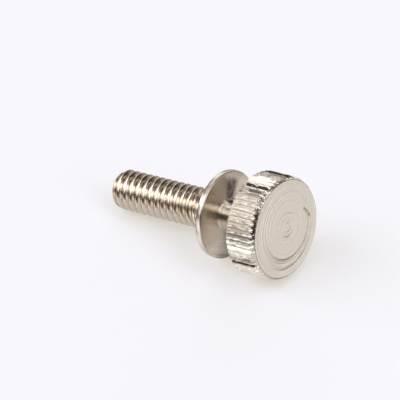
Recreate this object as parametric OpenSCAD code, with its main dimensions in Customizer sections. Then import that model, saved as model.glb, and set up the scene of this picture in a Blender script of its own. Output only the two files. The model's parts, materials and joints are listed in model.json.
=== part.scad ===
// Knurled thumb screw, turned from one bar: a straight-knurled head, a slim neck,
// an integral collar with a flat bearing face, and a threaded shank with a
// chamfered tip. The screw stands on the end face of its head and points up +Z.
// The helical thread is not cut here: the shank is the thread's major diameter.

/* [Head] */
// Diameter over the knurl's crests, which stand a little proud of the bar
head_d = 16.3; // [12:0.1:20]
// Height of the head along the axis
head_h = 5.4; // [4:0.1:8]
// Chamfer between the end face and the knurl
head_front_chamfer = 0.5; // [0.4:0.05:0.8]
// Small broken edge at the back of the head
head_back_chamfer = 0.2; // [0.05:0.05:0.3]

/* [Knurl] */
// Number of straight teeth round the head
knurl_teeth = 52; // [40:2:64]
// Radial depth of the grooves: the full 0.4 gives teeth of about 90 degrees
knurl_depth = 0.40; // [0.2:0.02:0.4]
// Share of the tooth pitch that the flat crest takes
knurl_crest_share = 0.10; // [0.1:0.02:0.3]
// Share of the tooth pitch that the flat groove floor takes
knurl_root_share = 0.08; // [0.06:0.02:0.2]

/* [Neck] */
// Diameter of the neck between head and collar
neck_d = 4.8; // [4:0.1:6]
// Length of the neck
neck_h = 5.8; // [3:0.1:8]
// Radius of the fillet where the neck meets the head and the collar
neck_fillet = 0.2; // [0.1:0.05:0.6]

/* [Collar] */
// Diameter of the collar
collar_d = 13.9; // [11:0.1:16]
// Thickness of the collar
collar_t = 1.0; // [0.8:0.05:2]
// Radius of the rounded edges of the collar's rim
collar_edge = 0.2; // [0.1:0.05:0.3]

/* [Shank] */
// Major diameter of the thread
thread_d = 6.35; // [5:0.05:8]
// Length of the shank under the collar
shank_l = 20.3; // [12:0.1:40]
// Length of the chamfer at the tip, along the axis
tip_chamfer_l = 0.8; // [0.4:0.05:1.2]
// Depth of the chamfer at the tip, across the radius: a little more than the thread's depth
tip_chamfer_r = 0.8; // [0.3:0.05:1]

/* [Hidden] */
nickel = [0.80, 0.76, 0.70];
head_r = head_d / 2;
neck_r = neck_d / 2;
collar_r = collar_d / 2;
thread_r = thread_d / 2;
collar_z = head_h + neck_h;
bearing_z = collar_z + collar_t;
tip_z = bearing_z + shank_l;
tooth_angle = 360 / knurl_teeth;
knurl_root_r = head_r - knurl_depth;
overlap = 0.5;
$fn = 96;

// The four corners of one tooth, in order round the head: crest, crest, groove, groove
function tooth(i) =
    let (mid = i * tooth_angle,
         half_crest = tooth_angle * knurl_crest_share / 2,
         half_root = tooth_angle * knurl_root_share / 2)
    [
        polar(head_r, mid - half_crest),
        polar(head_r, mid + half_crest),
        polar(knurl_root_r, mid + tooth_angle / 2 - half_root),
        polar(knurl_root_r, mid + tooth_angle / 2 + half_root)
    ];

function polar(r, a) = [r * cos(a), r * sin(a)];

// Outline of the straight knurl, seen along the axis
module knurl_outline() {
    polygon([for (i = [0 : knurl_teeth - 1]) each tooth(i)]);
}

// Turned blank of the head, with its two chamfers
module head_blank() {
    rotate_extrude()
        polygon([
            [0, 0],
            [head_r - head_front_chamfer, 0],
            [head_r, head_front_chamfer],
            [head_r, head_h - head_back_chamfer],
            [head_r - head_back_chamfer, head_h],
            [0, head_h]
        ]);
}

// The head: the knurl's teeth end on the chamfers of the blank
module knurled_head() {
    intersection() {
        head_blank();
        linear_extrude(head_h)
            knurl_outline();
    }
}

// The neck, flared by a fillet at both ends
module neck() {
    flare_r = neck_r + neck_fillet;
    rotate_extrude()
        translate([0, head_h - overlap])
            difference() {
                square([flare_r, neck_h + 2 * overlap]);
                translate([neck_r, overlap + neck_fillet])
                    square([flare_r, neck_h - 2 * neck_fillet]);
                for (y = [overlap + neck_fillet, overlap + neck_h - neck_fillet])
                    translate([flare_r, y])
                        circle(neck_fillet);
            }
}

// The collar: a thin disc with a rounded rim
module collar() {
    core_r = collar_r - collar_edge;
    rotate_extrude()
        translate([0, collar_z]) {
            square([core_r, collar_t]);
            translate([0, collar_edge])
                square([collar_r, collar_t - 2 * collar_edge]);
            for (y = [collar_edge, collar_t - collar_edge])
                translate([core_r, y])
                    circle(collar_edge);
        }
}

// The shank at the thread's major diameter, with the chamfered tip
module shank() {
    rotate_extrude()
        polygon([
            [0, bearing_z - overlap],
            [thread_r, bearing_z - overlap],
            [thread_r, tip_z - tip_chamfer_l],
            [thread_r - tip_chamfer_r, tip_z],
            [0, tip_z]
        ]);
}

module thumb_screw() {
    color(nickel)
        union() {
            knurled_head();
            neck();
            collar();
            shank();
        }
}

thumb_screw();
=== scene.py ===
"""Looks of the knurled thumb screw: its surface with the thread, knurl and turning marks, its nickel
plate, and a plain pale studio. The screw stands on the end face of its head and points up +Z."""
import json
import math

import bmesh
import bpy
import numpy as np
from bpy.props import FloatProperty, FloatVectorProperty, IntProperty, PointerProperty
from mathutils import Matrix, Vector

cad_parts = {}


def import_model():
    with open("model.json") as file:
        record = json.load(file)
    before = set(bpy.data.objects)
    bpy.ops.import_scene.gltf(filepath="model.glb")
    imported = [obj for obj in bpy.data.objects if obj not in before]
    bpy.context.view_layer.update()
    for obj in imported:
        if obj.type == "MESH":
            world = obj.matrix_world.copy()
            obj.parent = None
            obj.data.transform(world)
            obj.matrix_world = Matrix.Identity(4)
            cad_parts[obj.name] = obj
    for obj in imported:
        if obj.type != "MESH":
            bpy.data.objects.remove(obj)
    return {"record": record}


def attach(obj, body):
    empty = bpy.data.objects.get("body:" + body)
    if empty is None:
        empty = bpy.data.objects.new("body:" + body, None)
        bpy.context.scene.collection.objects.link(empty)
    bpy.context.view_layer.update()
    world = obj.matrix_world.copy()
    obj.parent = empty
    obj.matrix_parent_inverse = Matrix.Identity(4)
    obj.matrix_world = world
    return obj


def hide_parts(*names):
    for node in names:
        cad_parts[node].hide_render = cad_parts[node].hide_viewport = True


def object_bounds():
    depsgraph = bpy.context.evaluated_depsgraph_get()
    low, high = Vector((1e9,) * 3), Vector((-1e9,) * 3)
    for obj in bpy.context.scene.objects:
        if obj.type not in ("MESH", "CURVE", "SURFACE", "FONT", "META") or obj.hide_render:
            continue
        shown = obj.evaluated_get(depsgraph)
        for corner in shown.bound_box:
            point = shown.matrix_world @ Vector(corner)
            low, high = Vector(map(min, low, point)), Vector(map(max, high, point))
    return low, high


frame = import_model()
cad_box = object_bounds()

bl_info = {
    "name": "Knurled thumb screw",
    "version": (1, 0, 0),
    "blender": (4, 5, 0),
    "location": "View3D > Sidebar > Thumb screw",
    "description": "Builds a plated, straight-knurled thumb screw on its packed frame",
    "category": "Object",
}

MM = 0.001
MOUNTS = {m["name"]: m for m in frame["record"]["mounts"]}
THREAD = MOUNTS["thread"]
THREAD_R = THREAD["dims"]["r_mm"] * MM
BEARING_Z = MOUNTS["bearing_face"]["pos_m"][2]
THREAD_END_Z = THREAD["pos_m"][2] + THREAD["dims"]["length_mm"] * MM / 2


def length(name, description, default, smallest=0.0):
    """A length in metres for the sidebar."""
    return FloatProperty(
        name=name, description=description, default=default, min=smallest,
        unit="LENGTH", subtype="DISTANCE", precision=5,
    )


def degrees(name, description, default):
    """An angle for the sidebar, given in degrees and kept in radians."""
    return FloatProperty(
        name=name, description=description, default=math.radians(default),
        unit="ROTATION", subtype="ANGLE", precision=4,
    )


def tooth_share(name, description, default):
    """A share of the tooth's pitch for the sidebar. Two of them leave room for the flanks."""
    return FloatProperty(
        name=name, description=description, default=default, min=0, max=0.4, subtype="FACTOR",
    )


def colour(name, description, default):
    """A colour for the sidebar, linear."""
    return FloatVectorProperty(
        name=name, description=description, default=default, size=3, min=0, max=1,
        subtype="COLOR",
    )


class ScrewSizes(bpy.types.PropertyGroup):
    """Sizes of the screw. Those that the frame holds come from it."""

    head_radius: length("Head radius", "Radius over the knurl's crests", cad_box[1].x)
    head_height: length("Head height", "Height of the head along the axis", 5.4 * MM)
    front_chamfer: length("Front chamfer", "Chamfer between end face and knurl", 0.5 * MM)
    back_chamfer: length("Back chamfer", "Broken edge at the back of the head", 0.2 * MM)
    teeth: IntProperty(name="Teeth", description="Straight teeth round the head", default=52, min=12)
    knurl_depth: length("Knurl depth", "Radial depth of the grooves", 0.40 * MM, 0.01 * MM)
    crest_share: tooth_share("Crest share", "Share of the pitch that the flat crest takes", 0.10)
    root_share: tooth_share("Groove share", "Share of the pitch that the groove's floor takes", 0.08)
    crest_wear: length("Crest wear", "Most that a crest is worn down", 0.10 * MM)
    crest_roll: length("Crest roll", "How far the crests roll over at the front chamfer", 0.18 * MM)
    neck_radius: length("Neck radius", "Radius of the neck", 2.4 * MM)
    neck_fillet: length("Neck fillet", "Fillet at both ends of the neck", 0.2 * MM)
    collar_radius: length("Collar radius", "Radius of the collar", 6.95 * MM)
    collar_thickness: length("Collar thickness", "Thickness of the collar", 1.0 * MM)
    collar_edge: length("Collar edge", "Radius of the rounded edges of the rim", 0.2 * MM)
    thread_radius: length("Thread radius", "Major radius of the thread", THREAD_R)
    pitch: length("Thread pitch", "Distance from crest to crest: 20 to the inch", 1.27 * MM, 0.3 * MM)
    thread_depth: length("Thread depth", "Radial depth of the thread", 0.77 * MM)
    thread_start: length("Thread start", "Height of the first crest at azimuth 0", 13.65 * MM)
    edge_break: length("Edge break", "Radius of the small rounding on the sharp edges", 0.05 * MM)


class ScrewFinish(bpy.types.PropertyGroup):
    """Colours of the plate."""

    nickel: colour("Nickel", "Colour of the bright plate", (0.74, 0.68, 0.61))
    worn: colour("Worn nickel", "Colour where the plate is thin over the brass", (0.74, 0.655, 0.565))
    # Also the colour of the painted shade and painted dark reflections on the plate.
    shade_and_dirt_colour: colour("Tarnish", "Colour of dirt and stains", (0.07, 0.05, 0.035))


class StudioSettings(bpy.types.PropertyGroup):
    """The camera and the pale surroundings."""

    lens: FloatProperty(
        name="Lens", description="Focal length in millimetres", default=360.0, min=20, unit="CAMERA",
    )
    azimuth: degrees("Azimuth", "Camera's turn about the axis", -9.69)
    elevation: degrees("Elevation", "Camera's angle above the level, so below it where negative", -36.5)
    roll: degrees("Roll", "Camera's turn about its own view", 76.0)
    distance: length("Distance", "From the aim to the camera", 618.8 * MM)
    aim: FloatVectorProperty(
        name="Aim", description="Point that the camera looks at", size=3, subtype="TRANSLATION",
        unit="LENGTH", precision=5, default=(1.05 * MM, -0.61 * MM, 16.83 * MM),
    )
    rest_azimuth: degrees("Rest azimuth", "Azimuth of the pale sheet's normal, from +X", -45.28)
    sheet: colour("Sheet", "Colour of the pale paper", (0.53, 0.55, 0.75))
    glow: colour("Glow", "The part of the paper's paleness that nothing shades", (0.442, 0.42, 0.296))
    shade: colour("Shade", "Colour of the dark parts of the room", (1.0, 0.78, 0.60))


# ---------------------------------------------------------------------------------------------------
# The surface

# Columns of the end face and of the body, to each tooth. The knurl has 14, which both of these divide.
FACE_COLUMNS = 7
BODY_COLUMNS = 2
# Steps across each small rounding, and rows of points along a tooth between its ends.
ROUNDING_STEPS = 3
TOOTH_ROWS = 13
# Edges that turn by more than this are drawn sharp.
SHARP_ANGLE = math.radians(32)


class Shell:
    """Points and faces of one closed surface, gathered ring by ring. Rings run counterclockwise seen
    from +Z, and each next ring lies further along the outline, so that faces point outwards."""

    def __init__(self):
        """An empty shell."""
        self.points = []
        self.faces = []
        self.count = 0

    def add(self, x, y, z):
        """Adds a block of points and returns their numbers in the block's own shape."""
        x, y, z = np.broadcast_arrays(x, y, z)
        self.points.append(np.stack([x, y, z], axis=-1).reshape(-1, 3))
        numbers = np.arange(self.count, self.count + x.size).reshape(x.shape)
        self.count += x.size
        return numbers

    def revolve(self, radius, height, angles, centre=(0.0, 0.0)):
        """Rings in rows: each point is (centre + radius * direction of its angle, height)."""
        x = radius * np.cos(angles) + centre[0]
        y = radius * np.sin(angles) + centre[1]
        return self.add(x, y, height)

    def skin(self, rings):
        """Quads between the rows of a block of rings, each closed on itself."""
        here = rings
        beside = np.roll(rings, -1, axis=1)
        quads = np.stack([here[:-1], beside[:-1], beside[1:], here[1:]], axis=-1)
        self.faces += quads.reshape(-1, 4).tolist()

    def step(self, lower, upper):
        """Joins two rings whose counts divide: one face to each edge of the coarser ring."""
        few, many = sorted((len(lower), len(upper)))
        share = many // few
        if many != few * share:
            raise ValueError("the rings' counts don't divide")
        fine, coarse = (lower, upper) if len(lower) > len(upper) else (upper, lower)
        spans = (np.arange(few)[:, None] * share + np.arange(share + 1)) % many
        edges = np.stack([coarse, np.roll(coarse, -1)], axis=-1)
        if fine is lower:
            faces = np.concatenate([fine[spans], edges[:, ::-1]], axis=1)
        else:
            faces = np.concatenate([edges, fine[spans][:, ::-1]], axis=1)
        self.faces += faces.tolist()

    def cap(self, ring, tip, last):
        """Closes a ring to one point, at the start of the outline or at its end."""
        beside = np.roll(ring, -1)
        point = np.full_like(ring, tip)
        order = [ring, beside, point] if last else [point, beside, ring]
        self.faces += np.stack(order, axis=-1).tolist()

    def mesh(self, name):
        """The blocks as one Blender mesh."""
        data = bpy.data.meshes.new(name)
        data.from_pydata(np.concatenate(self.points), [], self.faces)
        return data


def rounded(points, size):
    """Rounds each inner corner of many polylines at once. Points are [corner, polyline, (r, z)]. A
    corner becomes a quadratic curve from size before it to size after it, or two fifths of the way
    to the next corner where that is less."""
    out = [points[:1]]
    share = np.linspace(0, 1, ROUNDING_STEPS + 1)[:, None, None]
    for before, corner, after in zip(points[:-2], points[1:-1], points[2:]):
        reach = [np.linalg.norm(p - corner, axis=-1, keepdims=True) for p in (before, after)]
        ends = [
            corner + (p - corner) * np.minimum(0.4, size / np.maximum(r, 1e-9))
            for p, r in zip((before, after), reach)
        ]
        out.append((1 - share) ** 2 * ends[0] + 2 * share * (1 - share) * corner + share**2 * ends[1])
    out.append(points[-1:])
    return np.concatenate(out)


def ring_angles(count):
    """Evenly spaced angles, the first at +X."""
    return np.arange(count) * 2 * math.pi / count


def knurl_columns(size):
    """Angle and radius of each column of the knurl. A tooth has 14 columns, from the crest round to
    the next crest. Its radius falls from the crest by the depth times a trapezoid, whose corners are
    softened a little in the columns beside the crest and the groove."""
    share = np.array([0, 0.055, 0.10, 0.18, 0.31, 0.40, 0.455, 0.5])
    across = np.concatenate([share, 1 - share[1:-1][::-1]])
    from_crest = np.minimum(across, 1 - across)
    slope = 0.5 - (size.crest_share + size.root_share) / 2
    fall = np.clip((from_crest - size.crest_share / 2) / slope, 0, 1)
    soft = 0.018
    fall = np.where(from_crest == share[1], soft, fall)
    fall = np.where(from_crest == share[-2], 1 - soft, fall)
    angle = (np.arange(size.teeth)[:, None] + across) * 2 * math.pi / size.teeth
    radius = np.broadcast_to(size.head_radius - size.knurl_depth * fall, angle.shape)
    return angle.ravel(), radius.ravel()


# The lathe's rings on the end face, in millimetres and degrees: radius, half width and depth of each,
# the angle at which it is cut deepest, and how far to each side it stays deep.
FACE_RINGS = (
    (0.50, 0.14, 0.020, 340, 90), (0.98, 0.14, 0.034, 90, 80), (1.36, 0.12, 0.030, 250, 70),
    (1.72, 0.13, 0.040, 140, 50), (1.95, 0.13, 0.022, 340, 50), (2.30, 0.14, 0.012, 200, 90),
    (3.10, 0.20, 0.010, 60, 90), (3.90, 0.18, 0.012, 300, 90), (4.60, 0.16, 0.012, 230, 70),
    (5.40, 0.14, 0.055, 150, 90), (5.90, 0.15, 0.040, 205, 60), (6.38, 0.14, 0.030, 215, 60),
    (6.62, 0.12, 0.050, 140, 60), (6.86, 0.13, 0.034, 215, 70), (7.20, 0.10, 0.020, 60, 120),
)
# Radii at which the face has its rings of points, in millimetres: first, end and step of each stretch.
# From the last end to the face's edge there are a few more, evenly spaced.
FACE_ROWS = ((0.08, 2.5, 0.07), (2.5, 4.2, 0.1), (4.2, 7.0, 0.06))
FACE_EDGE_ROWS = 6
# The rings' centre, beside the axis, and the two radii in millimetres between which they come back to
# the axis.
FACE_CENTRE = (0.53 * MM, 0.16 * MM)
FACE_RETURN = (5.5, 7.3)
# A nick beside the edge, from one point to another.
NICK = ((3.79 * MM, 4.38 * MM), (4.24 * MM, 2.71 * MM))
NICK_DEPTH = 0.11 * MM
NICK_WIDTH = 0.14 * MM


def end_face(shell, size, outer):
    """Rings of the end face, out to a radius. They run round a centre beside the axis, and the outer
    ones come back to the axis. Height is the sum of the lathe's rings, each depth * a bell curve
    across its width * (a fifth + four fifths * a bell curve of the angle from its deepest place),
    and of the nick, depth * a bell curve of the distance from its line. Each of the lathe's rings
    wavers in radius by two sine waves of the angle, and the height fades to 0 at the outer radius."""
    rows = [np.arange(*row) for row in FACE_ROWS]
    rows.append(np.linspace(FACE_ROWS[-1][1], outer / MM, FACE_EDGE_ROWS))
    radius = np.concatenate(rows)[:, None] * MM
    angle = ring_angles(FACE_COLUMNS * size.teeth)
    out = np.clip((radius / MM - FACE_RETURN[0]) / (FACE_RETURN[1] - FACE_RETURN[0]), 0, 1)
    aside = 1 - out**2 * (3 - 2 * out)
    x = radius * np.cos(angle) + aside * FACE_CENTRE[0]
    y = radius * np.sin(angle) + aside * FACE_CENTRE[1]
    z = 0 * x
    for at, wide, deep, peak, spread in FACE_RINGS:
        turned = np.mod(np.degrees(angle) - peak + 180, 360) - 180
        share = 0.2 + 0.8 * np.exp(-((turned / spread) ** 2))
        waver = 0.03 * np.sin(2 * angle + at) + 0.012 * np.sin(7 * angle + 3 * at)
        z = z + deep * MM * share * np.exp(-(((radius / MM - at - waver) / wide) ** 2))
    start, end = (np.array(p) for p in NICK)
    way = end - start
    along = ((x - start[0]) * way[0] + (y - start[1]) * way[1]) / np.sum(way**2)
    along = np.clip(along, 0, 1)
    away = np.hypot(x - start[0] - along * way[0], y - start[1] - along * way[1])
    z = z + NICK_DEPTH * np.exp(-((away / NICK_WIDTH) ** 2))
    rim = np.clip((outer - radius) / (0.25 * MM), 0, 1)
    return shell.add(x, y, z * rim)


def nearest_tooth(size, angle):
    """Number of the tooth whose crest is nearest to each angle."""
    return np.rint(angle * size.teeth / (2 * math.pi)).astype(int) % size.teeth


def crest_wear(size, angle, height):
    """How far the knurl's crests are worn down, for each height and column, from 0 to 1. Each crest
    has its own row of chance values, joined by smooth steps from end to end, and squared."""
    stops = 11
    values = np.random.default_rng(20).random((size.teeth, stops))
    tooth = nearest_tooth(size, angle)
    place = np.clip(height / size.head_height, 0, 0.999) * (stops - 1)
    stop = np.floor(place).astype(int)
    part = place - stop
    part = part**2 * (3 - 2 * part)
    value = values[tooth, stop] * (1 - part) + values[tooth, stop + 1] * part
    return value**2


def head(shell, size):
    """End face, knurl and back face. Each column's outline runs out over the end face, up the front
    chamfer until it meets the tooth, along the tooth to the back chamfer, and in over the back. The
    tooth's radius is lessened by (wear + roll) * the square of how near the point is to the crest's
    radius. The roll turns each crest over towards the front chamfer, by an amount and over a length
    that differ by chance from tooth to tooth, as amount * (1 - share of that length) squared."""
    face_r = size.head_radius - size.front_chamfer
    back_r = size.head_radius - size.back_chamfer
    start_r, end_r = face_r - 0.12 * MM, back_r - 0.4 * MM
    angle, tooth_r = knurl_columns(size)
    same = np.ones_like(tooth_r)
    back_z = np.minimum(size.head_height, size.head_height - size.back_chamfer + size.head_radius - tooth_r)
    corners = np.stack([
        np.stack([same * start_r, 0 * same], axis=-1),
        np.stack([same * face_r, 0 * same], axis=-1),
        np.stack([tooth_r, tooth_r - face_r], axis=-1),
        np.stack([tooth_r, back_z], axis=-1),
        np.stack([np.minimum(tooth_r, back_r), same * size.head_height], axis=-1),
        np.stack([same * end_r, same * size.head_height], axis=-1),
    ])
    outline = rounded(corners, size.edge_break)
    tooth_row = 2 * (ROUNDING_STEPS + 1) + 1
    foot, top = outline[tooth_row - 1], outline[tooth_row]
    share = np.linspace(0, 1, TOOTH_ROWS + 2)[1:-1, None, None]
    outline = np.concatenate([outline[:tooth_row], foot + (top - foot) * share, outline[tooth_row:]])
    radius, height = outline[..., 0], outline[..., 1]
    on_crest = np.clip((radius - size.head_radius + size.knurl_depth) / size.knurl_depth, 0, 1)
    fade = 0.3 * MM
    ends = np.clip(height / fade, 0, 1) * np.clip((size.head_height - height) / fade, 0, 1)
    worn = size.crest_wear * crest_wear(size, angle, height) * ends
    chance = np.random.default_rng(8).random(size.teeth)[nearest_tooth(size, angle)]
    roll_start = size.front_chamfer - 0.1 * MM
    roll_length = (0.6 + 0.6 * chance) * MM
    along = np.clip((height - roll_start) / roll_length, 0, 1)
    roll = size.crest_roll * (0.6 + 0.8 * chance) * (1 - along) ** 2 * (height > 0.1 * MM)
    side = shell.revolve(radius - on_crest**2 * (worn + roll), height, angle)
    shell.skin(side)

    rings = end_face(shell, size, face_r - 0.2 * MM)
    shell.cap(rings[0], shell.add(*FACE_CENTRE, 0.0), last=False)
    shell.skin(rings)
    shell.step(rings[-1], side[0])
    return side[-1]


def body(shell, size, start):
    """Neck, collar and the plain start of the shank, turned as one outline of straight lines and of
    quarter circles at the neck's fillets and the rim's edges."""
    top = BEARING_Z
    bottom = BEARING_Z - size.collar_thickness
    arc = np.linspace(0, math.pi / 2, 7)
    fillet = size.neck_fillet
    edge = size.collar_edge
    flare = size.neck_radius + fillet
    rim = size.collar_radius - edge
    over_back = np.array([7.0, 6.0, 5.0, 4.0]) * MM
    over_collar = np.array([4.0, 5.0, 6.0]) * MM
    neck_rows = 4
    radius = np.concatenate([
        over_back,
        flare - fillet * np.sin(arc),
        np.full(neck_rows, size.neck_radius),
        flare - fillet * np.cos(arc),
        over_collar,
        rim + edge * np.sin(arc),
        rim + edge * np.cos(arc),
        over_collar[::-1],
        [size.thread_radius, size.thread_radius],
    ])
    height = np.concatenate([
        np.full(len(over_back), size.head_height),
        size.head_height + fillet * (1 - np.cos(arc)),
        np.linspace(size.head_height + fillet, bottom - fillet, neck_rows + 2)[1:-1],
        bottom - fillet * (1 - np.sin(arc)),
        np.full(len(over_collar), bottom),
        bottom + edge * (1 - np.cos(arc)),
        top - edge * (1 - np.sin(arc)),
        np.full(len(over_collar), top),
        [top, size.thread_start - 0.15 * MM],
    ])
    rings = shell.revolve(radius[:, None], height[:, None], ring_angles(BODY_COLUMNS * size.teeth))
    shell.step(start, rings[0])
    shell.skin(rings)
    return rings[-1]


# The thread's section from crest to crest: places as shares of the pitch, and how far the surface has
# fallen there as a share of the depth. Crests and roots are slightly rounded, as plating leaves them.
THREAD_ROWS = np.array([0, 0.045, 0.075, 0.20, 0.33, 0.41, 0.455, 0.5, 0.545, 0.59, 0.67, 0.80, 0.925, 0.955])
THREAD_FALL = np.array([0, 0.0, 0.03, 0.33, 0.70, 0.925, 0.99, 1.0, 0.99, 0.925, 0.70, 0.33, 0.03, 0.0])
# Radii of the rings that close the tip's end face.
TIP_RINGS = (0.8 * MM, 0.5 * MM, 0.2 * MM)


def thread(shell, size, start):
    """Helical thread over the shank, the chamfered tip and its end face. Column k stands at angle
    k * 2 pi / columns and its rows climb by the pitch over one turn, so that the last row of a turn
    is the first row of the next. The radius is the smaller of the thread's own, which falls from
    the crest by the depth times the profile, and that of the tip's cone. A row close to where those
    two cross, or to the tip's height, moves onto that line. Rows past the tip lie on the end face
    and close in towards the axis."""
    tip_z = cad_box[1].z
    end_r = size.thread_radius - (tip_z - THREAD_END_Z)
    count = BODY_COLUMNS * size.teeth
    turns = math.ceil((tip_z - size.thread_start) / size.pitch + 0.1)
    last = turns * count
    rows = len(THREAD_ROWS)
    k = np.arange(last + count + 1)[:, None]
    angle = k * 2 * math.pi / count

    def level(row):
        """Height of a row, counted on past the turn's ends."""
        whole, part = np.divmod(row, rows)
        return size.thread_start + size.pitch * (k / count + whole + THREAD_ROWS[part])

    def thread_r(z):
        """Radius of the helical profile, which sinks in over its first turn."""
        along = (z - size.thread_start) / size.pitch
        share = np.mod(along - k / count, 1.0)
        fall = np.interp(share, np.append(THREAD_ROWS, 1), np.append(THREAD_FALL, 0))
        begin = np.clip(k / count, 0, 1)
        sunk = fall - 1 + begin**2 * (3 - 2 * begin)
        return size.thread_radius - size.thread_depth * np.maximum(sunk, 0)

    def cone_r(z):
        """Radius of the tip's chamfer."""
        return size.thread_radius - (z - THREAD_END_Z)

    row = np.arange(rows)[None, :]
    z = level(row)
    for gap in (lambda h: thread_r(h) - cone_r(h), lambda h: h - tip_z + 0 * k):
        here = gap(level(row))
        for other in (level(row - 1), level(row + 1)):
            there = gap(other)
            crossed = here * there < 0
            share = here / np.where(crossed, here - there, 1.0)
            z = np.where(crossed & (share < 0.5), level(row) + share * (other - level(row)), z)
    radius = np.minimum(thread_r(z), cone_r(z))
    past = np.maximum(z - tip_z, 0)
    radius = np.where(past > 0, end_r - 0.5 * past, radius)
    z = np.minimum(z, tip_z)

    keep = last + 1
    numbers = np.empty((keep, rows + 1), int)
    numbers[:, :rows] = shell.revolve(radius[:keep], z[:keep], angle[:keep])
    line = np.concatenate([numbers[:, 0], shell.revolve(radius[keep:, 0], z[keep:, 0], angle[keep:, 0])])
    numbers[:, rows] = line[count : count + keep]
    low, beside = numbers[:-1, :-1], numbers[1:, :-1]
    high, corner = numbers[:-1, 1:], numbers[1:, 1:]
    shell.faces += np.stack([low, beside, high], axis=-1).reshape(-1, 3).tolist()
    shell.faces += np.stack([beside, corner, high], axis=-1).reshape(-1, 3).tolist()

    first = np.stack([start[:-1], start[1:], line[1:count], line[: count - 1]], axis=-1)
    shell.faces += first.tolist()
    shell.faces.append([start[-1], start[0], *numbers[0], line[count - 1]])
    angles = ring_angles(count)
    inner = shell.revolve(TIP_RINGS[0], tip_z, angles)
    end = line[last:]
    shell.faces += np.stack([end[1:-1], end[2:], np.roll(inner, -1)[1:], inner[1:]], axis=-1).tolist()
    shell.faces.append([end[0], end[1], inner[1], inner[0], *numbers[last, ::-1][:-1]])
    rest = shell.revolve(np.array(TIP_RINGS[1:])[:, None], tip_z, angles)
    shell.skin(np.concatenate([inner[None], rest]))
    shell.cap(rest[-1], shell.add(0.0, 0.0, tip_z), last=True)


class OBJECT_OT_build_screw(bpy.types.Operator):
    """Builds the plated screw as one closed surface and puts it in the place of its plain solid"""

    bl_idname = "thumb_screw.build_screw"
    bl_label = "Build screw"

    def execute(self, context):
        """Turns the shell into a mesh, dresses it and ties it to the frame."""
        size = context.scene.screw_sizes
        shell = Shell()
        back = head(shell, size)
        shank = body(shell, size, back)
        thread(shell, size, shank)
        data = shell.mesh("screw")
        data.validate()
        merge_close(data)
        data.polygons.foreach_set("use_smooth", np.ones(len(data.polygons), bool))
        data.set_sharp_from_angle(angle=SHARP_ANGLE)
        piece = bpy.data.objects.new("screw", data)
        context.scene.collection.objects.link(piece)
        data.materials.append(nickel_plate(size, context.scene.screw_finish))
        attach(piece, "root")
        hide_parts("thumb_screw")
        return {"FINISHED"}


def merge_close(data):
    """Merges points that fall together, where a chamfer runs out."""
    work = bmesh.new()
    work.from_mesh(data)
    bmesh.ops.remove_doubles(work, verts=work.verts, dist=1e-6)
    bmesh.ops.dissolve_degenerate(work, dist=1e-7, edges=work.edges)
    work.to_mesh(data)
    work.free()


# ---------------------------------------------------------------------------------------------------
# Shader maths


class Maths:
    """One number socket, on which Python's operators add Math nodes."""

    def __init__(self, graph, socket):
        """A socket of one graph."""
        self.graph = graph
        self.socket = socket

    def __add__(self, other):
        """self + other"""
        return self.graph.maths("ADD", self, other)

    def __radd__(self, other):
        """other + self"""
        return self.graph.maths("ADD", other, self)

    def __sub__(self, other):
        """self - other"""
        return self.graph.maths("SUBTRACT", self, other)

    def __rsub__(self, other):
        """other - self"""
        return self.graph.maths("SUBTRACT", other, self)

    def __mul__(self, other):
        """self * other"""
        return self.graph.maths("MULTIPLY", self, other)

    def __rmul__(self, other):
        """other * self"""
        return self.graph.maths("MULTIPLY", other, self)

    def most(self, other):
        """The larger of the two, so never less than other."""
        return self.graph.maths("MAXIMUM", self, other)

    def least(self, other):
        """The smaller of the two, so never more than other."""
        return self.graph.maths("MINIMUM", self, other)

    def rise(self, low, high):
        """0 below low and 1 above high, with a smooth rise between."""
        settings = {"interpolation_type": "SMOOTHSTEP"}
        inputs = {"Value": self, "From Min": low, "From Max": high}
        return self.graph.node("ShaderNodeMapRange", settings, inputs)

    def band(self, low, high, soft):
        """1 between low and high, with smooth edges as wide as soft on each side."""
        return self.rise(low - soft, low + soft) * (1 - self.rise(high - soft, high + soft))


class Graph:
    """The nodes of one material or world."""

    def __init__(self, tree):
        """Starts from an empty tree."""
        self.tree = tree
        tree.nodes.clear()

    def node(self, kind, settings=None, inputs=None, output=0):
        """Any node: its settings first, then its sockets' values or links. Returns one output."""
        made = self.tree.nodes.new(kind)
        for name, value in (settings or {}).items():
            setattr(made, name, value)
        for name, value in (inputs or {}).items():
            if isinstance(value, Maths):
                self.tree.links.new(value.socket, made.inputs[name])
            else:
                made.inputs[name].default_value = value
        return None if output is None else Maths(self, made.outputs[output])

    def maths(self, operation, *values):
        """A Math node on numbers or sockets."""
        return self.node("ShaderNodeMath", {"operation": operation}, dict(enumerate(values)))

    def vector(self, operation, *values):
        """A Vector Math node. A dot product or length gives a number."""
        output = "Value" if operation in ("DOT_PRODUCT", "LENGTH") else "Vector"
        return self.node("ShaderNodeVectorMath", {"operation": operation}, dict(enumerate(values)), output)

    def mix(self, share, low, high):
        """Mixes two colours."""
        settings = {"data_type": "RGBA"}
        return self.node("ShaderNodeMix", settings, {"Factor": share, "A": low, "B": high}, "Result")

    def noise(self, scale, detail=2.0, **inputs):
        """Noise from 0 to 1 about a half, in space or, with W alone, along a line."""
        settings = {"noise_dimensions": "3D" if "Vector" in inputs else "1D"}
        return self.node("ShaderNodeTexNoise", settings, {"Scale": scale, "Detail": detail, **inputs})
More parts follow.
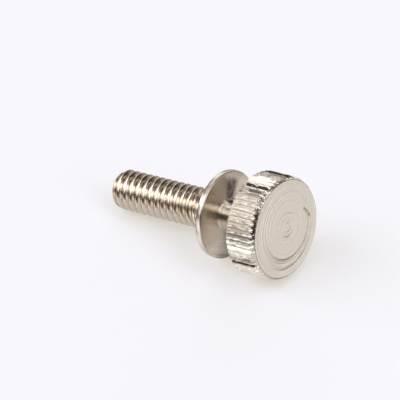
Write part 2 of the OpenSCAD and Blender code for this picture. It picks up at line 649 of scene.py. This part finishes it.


# ---------------------------------------------------------------------------------------------------
# Finish

# Grooves of the knurl with painted dark reflections: angle in degrees, lowest and highest place in
# millimetres, and how dark each is. Then the half width of the painted darkness in a groove, in degrees.
SHADED_GROOVES = (
    (-155.8, 0.9, 5.2, 1.3), (-148.9, 1.4, 2.8, 0.6), (-128.1, 0.7, 5.0, 0.55), (-121.2, 0.6, 5.2, 0.6),
    (-114.2, 1.2, 5.0, 0.15), (-65.8, 1.4, 3.9, 0.7), (-58.8, 0.9, 5.0, 1.3), (-22.9, 0.5, 5.2, 1.3),
    (-16.0, 0.3, 5.2, 1.3), (-30.0, 0.4, 3.0, 0.5),
)
SHADE_HALF = 2.1


def groove_shade(angle, z):
    """How dark the painted reflections in the knurl's grooves are: the sum of each groove's darkness, faded
    out across the groove and at its ends."""
    knurl_shade_and_dirt = 0
    for middle, low, high, dark in SHADED_GROOVES:
        across = angle.band(middle - SHADE_HALF, middle + SHADE_HALF, 0.7)
        knurl_shade_and_dirt = knurl_shade_and_dirt + dark * across * z.band(low, high, 0.25)
    return knurl_shade_and_dirt


def front_shade_and_dirt(g, mm, depth, angle, z):
    """How dark the knurl's front edge is. Over two stretches where the crests roll over, wherever
    the depth under the crests passes 0.3 * height, it is painted dark reflection, and between the two it
    is dirt in loose specks."""
    specks = g.noise(3.2, 2.0, Vector=mm)
    rolled = (depth - 0.3 * z).rise(0, 0.15) * z.band(0.08, 1.25, 0.06)
    stretches = angle.band(-121, -86, 3) + 0.8 * angle.band(-58, -34, 4)
    # Painted dark reflection over the two stretches where the crests roll over.
    shaded_stretches = stretches * rolled * specks.rise(0.30, 0.42)
    speckled = angle.band(-92, -56, 8) * z.band(0.1, 1.2, 0.1) * specks.rise(0.53, 0.58)
    return shaded_stretches + 0.9 * speckled


def nickel_plate(size, finish):
    """Bright nickel over turned brass. Painted dark reflections lie in some grooves of the knurl and
    over two stretches of its front edge, with dirt in loose specks between them. A painted dark reflection
    lies on the collar's underside, a faint stain on the end face, and painted shade in the thread's roots.
    The plate is thin on the collar and thinner on the shank. Places are in millimetres and angles in degrees."""
    material = bpy.data.materials.new("nickel_plate")
    material.use_nodes = True
    head_r, head_z = size.head_radius / MM, size.head_height / MM
    chamfer, neck_r = size.front_chamfer / MM, size.neck_radius / MM
    face_r = head_r - chamfer
    over = BEARING_Z / MM
    under = over - size.collar_thickness / MM
    root_r = (size.thread_radius - size.thread_depth) / MM

    g = Graph(material.node_tree)
    place = g.node("ShaderNodeTexCoord", output="Object")
    mm = g.vector("MULTIPLY", place, (1000, 1000, 1000))
    x, y, z = (g.vector("DOT_PRODUCT", mm, axis) for axis in ((1, 0, 0), (0, 1, 0), (0, 0, 1)))
    radius = g.vector("LENGTH", g.vector("MULTIPLY", mm, (1, 1, 0)))
    angle = g.maths("ARCTAN2", y, x) * math.degrees(1)
    on_face = (1 - z.rise(0.05, 0.15)) * (1 - radius.rise(face_r - 0.15, face_r + 0.05))
    on_collar = z.band(under - 0.05, under + 0.1, 0.02) * radius.rise(neck_r + 0.1, neck_r + 0.3)
    on_knurl = radius.rise(face_r - 0.1, face_r - 0.05) * z.band(0.03, head_z - 0.1, 0.02)
    on_chamfer = radius.rise(face_r - 0.05, face_r) * z.band(0.05, chamfer + 0.1, 0.05)

    mottled = g.noise(1.1, 3.0, Vector=mm).rise(0.40, 0.60)
    streaks = g.noise(4.0, 3.0, Vector=g.vector("MULTIPLY", mm, (1, 1, 0.3)))
    # Painted dark reflections in some grooves and at the front edge of the knurl, with dirt in specks there.
    knurl_shade_and_dirt = groove_shade(angle, z) * on_knurl * streaks.rise(0.25, 0.45)
    knurl_shade_and_dirt = knurl_shade_and_dirt + on_knurl * front_shade_and_dirt(g, mm, head_r - radius, angle, z)
    # A painted dark reflection on the collar's underside, beside the neck.
    painted_collar_reflection = on_collar * angle.band(-38, -8, 8) * radius.band(neck_r, 5.8, 0.7) * (0.7 + 0.3 * mottled)
    # The painted shade and reflections together with the dirt, which darken the plate's colour and raise its
    # roughness.
    painted_shade_and_dirt = (knurl_shade_and_dirt + 0.85 * painted_collar_reflection).least(1)
    worn = 0.5 * z.rise(under - 0.2, under) + 0.5 * z.rise(over - 0.1, over + 0.1)
    # Painted shade in the thread's roots, mottled.
    at_root = z.rise(over + 0.6, over + 1.2) * (1 - radius.rise(root_r + 0.045, root_r + 0.345))
    root = at_root * (0.08 + 0.3 * mottled)
    tint = on_face * radius.band(5.2, 6.4, 0.3) * angle.band(25, 120, 12) * 0.12 * mottled
    plate = g.mix(worn, (*finish.nickel, 1), (*finish.worn, 1))
    # The plate darkens towards that colour by the painted shade and reflections, the dirt and the faint
    # stain.
    colour = g.mix((painted_shade_and_dirt + root + tint).least(1), plate, (*finish.shade_and_dirt_colour, 1))

    roughness = 0.14 + 0.10 * g.noise(1.2, 3.0, Vector=mm) + 0.10 * on_face + 0.2 * painted_shade_and_dirt
    turning = g.noise(12.0, 1.0, W=radius)
    grain = g.noise(3.5, 4.0, Vector=mm)
    dished = on_collar * (-0.12 * radius + 0.008 * turning)
    height = dished + on_knurl * 0.028 * streaks + 0.012 * grain + on_chamfer * 0.06 * grain
    bump = g.node("ShaderNodeBump", {}, {"Height": height * MM, "Distance": 1.0})
    shader = g.node("ShaderNodeBsdfPrincipled", {}, {
        "Base Color": colour, "Metallic": 1.0, "Roughness": roughness, "Normal": bump})
    g.node("ShaderNodeOutputMaterial", {}, {"Surface": shader}, None)
    return material


# ---------------------------------------------------------------------------------------------------
# Stage

# Gap between the paper and what touches it, and half the side of a sheet, in metres.
PAPER_GAP = 0.01 * MM
PAPER_REACH = 2.0
# Lowest strength of the world's light, and the softness of a light's edges in degrees of turn and lift.
AMBIENT = 0.06
SOFT_TURN, SOFT_LIFT = 8, 5


class OBJECT_OT_build_studio(bpy.types.Operator):
    """Sets the camera, the pale sheet that the screw leans on, the bench under it and the world"""

    bl_idname = "thumb_screw.build_studio"
    bl_label = "Build studio"

    def execute(self, context):
        """Places the camera, then both papers, then the world's light."""
        size, studio = context.scene.screw_sizes, context.scene.studio
        set_camera(context.scene, studio)
        touch, _, right, forward = sheet_frame(size, studio)
        material = pale_paper(studio)
        paper(context.scene, "pale_sheet", material, touch, right, forward)
        bench = Vector((0, 0, -PAPER_GAP))
        paper(context.scene, "pale_bench", material, bench, Vector((1, 0, 0)), Vector((0, 1, 0)))
        world(context.scene, size, studio)
        context.scene.view_settings.view_transform = "Standard"
        return {"FINISHED"}


def camera_turn(studio):
    """Rotation of the camera, and the way back from its aim to it. It stands at an azimuth and
    elevation from the aim and is rolled about its view."""
    turn, lift = studio.azimuth, studio.elevation
    back = Vector((math.sin(turn) * math.cos(lift), -math.cos(turn) * math.cos(lift), math.sin(lift)))
    upright = (-back).to_track_quat("-Z", "Y").to_matrix().to_4x4()
    return upright @ Matrix.Rotation(-studio.roll, 4, "Z"), back


def set_camera(scene, studio):
    """Adds the camera, at its distance from the aim, and makes it the scene's own."""
    camera = bpy.data.cameras.new("camera")
    camera.lens = studio.lens
    camera.clip_start, camera.clip_end = 0.01, 10
    holder = bpy.data.objects.new("camera", camera)
    scene.collection.objects.link(holder)
    turn, back = camera_turn(studio)
    holder.matrix_world = Matrix.Translation(Vector(studio.aim) + back * studio.distance) @ turn
    scene.camera = holder


def sheet_frame(size, studio):
    """The sheet that the screw leans on: a point on it, its normal, and the camera's right and forward
    directions along it. It touches the head's back edge and the collar's rim along one side."""
    side = studio.rest_azimuth
    out = Vector((math.cos(side), math.sin(side), 0))
    up = Vector((0, 0, 1))
    head_z = size.head_height - size.back_chamfer
    collar_z = BEARING_Z - size.collar_edge
    lean = math.atan2(size.head_radius - size.collar_radius, collar_z - head_z)
    normal = out * math.cos(lean) - up * math.sin(lean)
    touch = -out * size.head_radius + up * head_z - normal * PAPER_GAP
    right = camera_turn(studio)[0].to_3x3() @ Vector((1, 0, 0))
    right = (right - normal * right.dot(normal)).normalized()
    return touch, normal, right, normal.cross(right)


def pale_paper(studio):
    """Matt paper, seen from its front only. A share of its paleness is its own, and the rest is light
    that the screw shades."""
    material = bpy.data.materials.new("pale_paper")
    material.use_nodes = True
    material.cycles.emission_sampling = "NONE"
    g = Graph(material.node_tree)
    front = g.node("ShaderNodeBsdfPrincipled", {}, {
        "Base Color": (*studio.sheet, 1), "Roughness": 0.9, "Specular IOR Level": 0.0,
        "Emission Color": (*studio.glow, 1), "Emission Strength": 1.0})
    clear = g.node("ShaderNodeBsdfTransparent")
    behind = g.node("ShaderNodeNewGeometry", output="Backfacing")
    g.node("ShaderNodeOutputMaterial", {}, {
        "Surface": g.node("ShaderNodeMixShader", {}, {0: behind, 1: front, 2: clear})}, None)
    return material


def paper(scene, name, material, touch, right, forward):
    """A large square sheet of paper through one point, facing right x forward. It throws no light on
    the screw, and the plate doesn't mirror it: the world's table stands in for it there."""
    signs = ((-1, -1), (1, -1), (1, 1), (-1, 1))
    corners = [touch + right * a * PAPER_REACH + forward * b * PAPER_REACH for a, b in signs]
    data = bpy.data.meshes.new(name)
    data.from_pydata([tuple(c) for c in corners], [], [(0, 1, 2, 3)])
    data.materials.append(material)
    sheet = bpy.data.objects.new(name, data)
    scene.collection.objects.link(sheet)
    for ray in ("diffuse", "glossy", "transmission", "shadow"):
        setattr(sheet, "visible_" + ray, False)


# Soft lights round the screw, and dark things with a strength below 0: first and last turn and lift
# in degrees, and strength. Turn 0 is away from the camera and 90 to its right; lift is the height over
# the sheet.
LIGHTS = {
    "table's bright side": ((62, 100), (-30, -8), 0.26),
    "table's lit edge": ((84, 102), (-22, 14), 0.8),
    "table's dark end": ((108, 128), (-44, -14), -0.55),
    "table's bright corner": ((92, 104), (-44, -33), 0.5),
    "table's dark corner": ((70, 91), (-52, -28), -0.8),
    "table's shaded edge": ((62, 76), (-18, -4), -0.5),
    "table's dark gap": ((-100, -66), (-36, 2), -0.85),
    "table's near shade": ((-172, -142), (-16, 0), -0.55),
    "table's near glow": ((-140, -100), (-27, 5), 0.4),
    "table's far glow": ((8, 72), (-20, 12), 0.36),
    "table's near spot": ((-140, -120), (-41, -9), 0.6),
    "room's right wall": ((60, 100), (-13, 19), 0.17),
    "table's far shade": ((-5, 20), (-32, -14), -0.4),
    "table's far spot": ((-42, -22), (-16, 2), 0.9),
    "table's left light": ((-22, 0), (-54, -34), 0.45),
    "table's left shade": ((-38, -22), (-46, -26), -0.4),
    "table's left strip": ((-114, -88), (-54, -36), 0.2),
    "window": ((-134, -98), (28, 60), 2.7),
    "window's near pane": ((-172, -146), (34, 66), 2.0),
    "window's top pane": ((-122, -58), (46, 58), 1.1),
    "window's far pane": ((-100, -76), (23, 52), 1.7),
    "window's corner": ((-78, -56), (9, 31), 2.8),
    "window's low pane": ((-124, -98), (10, 26), 1.2),
    "curtain": ((-66, -12), (40, 60), 0.45),
    "curtain's gap": ((-40, -22), (38, 52), 0.8),
    "far wall": ((-22, 0), (8, 40), 1.1),
    "far door": ((2, 38), (4, 39), 1.3),
    "overhead": ((22, 66), (50, 82), 1.5),
    "ceiling": ((-200, 200), (78, 100), 0.4),
    "ceiling's near side": ((-172, -120), (64, 84), 0.9),
    "ceiling lamp": ((86, 150), (52, 84), 2.0),
    "reflector beside the camera": ((120, 158), (18, 58), 2.3),
}


def world(scene, size, studio):
    """Plain surroundings: a pale table with a dark room over its edge, and the soft lights. Each light
    adds its strength times a soft band of turn and one of lift. What is dim takes the shade's
    colour, and the camera itself sees plain white."""
    made = bpy.data.worlds.new("studio")
    scene.world = made
    made.use_nodes = True
    g = Graph(made.node_tree)
    _, normal, right, forward = sheet_frame(size, studio)
    way = g.node("ShaderNodeTexCoord", output="Generated")
    up, across, ahead = (g.vector("DOT_PRODUCT", way, tuple(v)) for v in (normal, right, forward))
    lift = g.maths("ARCSINE", up) * math.degrees(1)
    turn = g.maths("ARCTAN2", across, ahead) * math.degrees(1)
    left_side = g.maths("COSINE", (turn + 100) * math.radians(1))
    far_side = g.maths("COSINE", turn * math.radians(1)).most(0)
    right_side = g.maths("SINE", turn * math.radians(1)).most(0)
    # The table ends lower on the right. It is brighter on the left and dimmer far off.
    table_edge = -2 - 12 * right_side
    table = 0.70 + 0.12 * left_side - 0.2 * far_side
    light = table * (1 - (lift - table_edge).rise(-3, 3))
    for turns, lifts, strength in LIGHTS.values():
        light = light + strength * turn.band(*turns, SOFT_TURN) * lift.band(*lifts, SOFT_LIFT)
    light = light.most(0) + AMBIENT
    seen = g.node("ShaderNodeLightPath", output="Is Camera Ray")
    strength = light * (1 - seen) + seen
    colour = g.mix(strength.rise(-0.2, 1.0), (*studio.shade, 1), (1, 1, 1, 1))
    shader = g.node("ShaderNodeBackground", {}, {"Color": colour, "Strength": strength})
    g.node("ShaderNodeOutputWorld", {}, {"Surface": shader}, None)


GROUPS = {"screw_sizes": ScrewSizes, "screw_finish": ScrewFinish, "studio": StudioSettings}


class VIEW3D_PT_thumb_screw(bpy.types.Panel):
    """Sizes, finish and studio of the thumb screw"""

    bl_label = "Thumb screw"
    bl_space_type = "VIEW_3D"
    bl_region_type = "UI"
    bl_category = "Thumb screw"

    def draw(self, context):
        """One box for each group of settings, and a button for each operator."""
        for name, group in GROUPS.items():
            box = self.layout.box()
            for prop in group.__annotations__:
                box.prop(getattr(context.scene, name), prop)
        for operator in OPERATORS:
            self.layout.operator(operator.bl_idname)


OPERATORS = (OBJECT_OT_build_screw, OBJECT_OT_build_studio)
CLASSES = (*GROUPS.values(), *OPERATORS, VIEW3D_PT_thumb_screw)


def register():
    """Adds the classes, and the groups of settings to the scene."""
    for item in CLASSES:
        bpy.utils.register_class(item)
    for name, group in GROUPS.items():
        setattr(bpy.types.Scene, name, PointerProperty(type=group))


def unregister():
    """Takes away what register added, in the other order."""
    for name in GROUPS:
        delattr(bpy.types.Scene, name)
    for item in reversed(CLASSES):
        bpy.utils.unregister_class(item)


def main():
    register()
    bpy.ops.thumb_screw.build_studio()
    bpy.ops.thumb_screw.build_screw()


if __name__ == "__main__":
    main()
